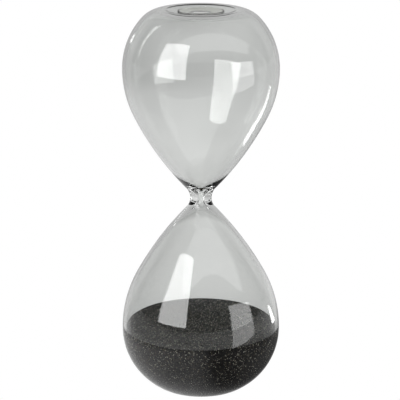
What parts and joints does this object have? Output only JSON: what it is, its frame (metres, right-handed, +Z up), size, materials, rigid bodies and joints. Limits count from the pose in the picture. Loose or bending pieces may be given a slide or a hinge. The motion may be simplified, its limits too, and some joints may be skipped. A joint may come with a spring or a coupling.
{
  "type": "hourglass",
  "caption": "Free-standing clear glass hourglass, with two rounded bulbs joined at a narrow throat and dark sand in the lower bulb.",
  "frame": {"origin": "centre of the lower foot ring, on the surface that the hourglass stands on", "axes": "+Z up along the axis of revolution, through the throat; +X and +Y are free, because the glass is round"},
  "size_m": [0.1032, 0.1032, 0.25],
  "materials": {
    "bulb_glass": "gloss",
    "stopper_glass": "gloss",
    "bond": "gloss",
    "sand": "matte"
  },
  "bodies": {
    "root": {"lower_bulb": "bulb_glass", "lower_cone": "bulb_glass", "neck_throat": "bulb_glass", "upper_cone": "bulb_glass", "upper_bulb": "bulb_glass", "stopper_bond": "bond", "fill_stopper": "stopper_glass", "sand_bed": "sand"}
  },
  "joints": []
}
